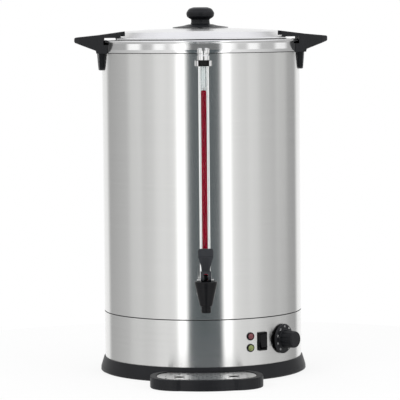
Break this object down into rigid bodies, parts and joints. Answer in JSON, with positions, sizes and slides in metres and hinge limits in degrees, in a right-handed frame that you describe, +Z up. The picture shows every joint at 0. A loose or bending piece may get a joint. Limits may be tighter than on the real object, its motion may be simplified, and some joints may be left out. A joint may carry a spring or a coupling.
{
  "type": "hot water urn",
  "caption": "Tall double-walled hot water urn with twist-lock lid, side handles, sight glass, lever tap, drip tray and front controls.",
  "frame": {"origin": "centre of the urn's round body, on the surface it stands on", "axes": "+Z up, -Y towards the tap and the user, +X to the user's right"},
  "size_m": [0.3954, 0.424, 0.5706],
  "materials": {
    "brushed_steel": "circumferential brushed",
    "polished_steel": "polished stainless",
    "plain_steel": "mill finish",
    "chrome": "bright plated",
    "brass": "turned",
    "aluminium": "cast",
    "black_plastic": "fine satin texture",
    "black_gloss": "moulded gloss",
    "rubber": "matt",
    "silicone": "translucent grey",
    "glass": "clear tube",
    "red_line": "red",
    "red_lens": "translucent red",
    "green_lens": "translucent green",
    "ceramic": "glazed ceramic"
  },
  "bodies": {
    "urn": {"outer_jacket": "brushed_steel", "inner_tank": "plain_steel", "top_collar": "polished_steel", "base_shell": "brushed_steel", "base_ring": "black_plastic", "rubber_foot_ring": "rubber", "base_plate": "plain_steel", "base_plate_screws": "plain_steel", "centre_stud": "plain_steel", "centre_nut": "plain_steel", "heat_spreader": "aluminium", "heating_element": "plain_steel", "boil_dry_cutout": "plain_steel", "thermostat_bulb": "brass", "terminal_block": "ceramic", "right_handle": "black_plastic", "left_handle": "black_plastic", "handle_screws": "plain_steel", "gauge_tube": "glass", "gauge_red_line": "red_line", "gauge_cap": "chrome", "gauge_grommet": "rubber", "gauge_clamp": "chrome", "gauge_socket_nut": "chrome", "tap_shank": "plain_steel", "shank_washers": "silicone", "shank_spacer": "plain_steel", "shank_nut": "plain_steel", "tap_body": "black_gloss", "tap_bonnet": "black_gloss", "tap_spring": "plain_steel", "red_lamp_bezel": "black_gloss", "red_lamp_lens": "red_lens", "green_lamp_bezel": "black_gloss", "green_lamp_lens": "green_lens", "switch_housing": "black_gloss", "thermostat_body": "plain_steel", "cable_gland": "black_plastic", "gland_nut": "black_plastic"},
    "seal": {"lid_seal": "silicone"},
    "lid": {"lid_plate": "polished_steel", "knob_shield": "black_plastic", "lid_knob": "black_plastic", "knob_washer": "plain_steel", "knob_screw": "plain_steel"},
    "stem": {"tap_stem": "plain_steel", "tap_seat_cup": "silicone"},
    "lever": {"tap_lever": "black_gloss", "tap_pin": "plain_steel"},
    "rocker": {"rocker": "black_gloss"},
    "dial": {"thermostat_knob": "black_plastic", "thermostat_spindle": "plain_steel"},
    "tray": {"drip_tray": "black_plastic"},
    "grid": {"drip_grid": "polished_steel"}
  },
  "joints": [
    {"name": "lid_lift", "type": "slide", "parent": "urn", "child": "seal", "axis": [0, 0, 1], "range_m": [0, 0.2]},
    {"name": "lid_twist", "type": "hinge", "parent": "seal", "child": "lid", "pos_m": [0, 0, 0.5205], "axis": [0, 0, 1], "range_deg": [0, 60]},
    {"name": "tap_stem_lift", "type": "slide", "parent": "urn", "child": "stem", "axis": [0, 0, 1], "range_m": [0, 0.0039], "deforming": ["tap_spring"]},
    {"name": "tap_lever_pull", "type": "hinge", "parent": "stem", "child": "lever", "pos_m": [0, -0.205, 0.1654], "axis": [1, 0, 0], "range_deg": [0, 40], "stiffness_Nm_per_rad": 0.3, "springref_deg": -17.19},
    {"name": "rocker_press", "type": "hinge", "parent": "urn", "child": "rocker", "pos_m": [0.08678, -0.12722, 0.0586], "axis": [0.8261, 0.5635, 0], "range_deg": [0, 20]},
    {"name": "dial_turn", "type": "hinge", "parent": "urn", "child": "dial", "pos_m": [0.1196, -0.09859, 0.0586], "axis": [-0.7716, 0.6361, 0], "range_deg": [0, 270]},
    {"name": "tray_pull", "type": "slide", "parent": "urn", "child": "tray", "axis": [0, -1, 0], "range_m": [0, 0.12]},
    {"name": "grid_lift", "type": "slide", "parent": "tray", "child": "grid", "axis": [0, 0, 1], "range_m": [0, 0.05]}
  ],
  "couplings": [
    {"joint": "tap_lever_pull", "follows": "tap_stem_lift", "rad_per_m": 179}
  ]
}
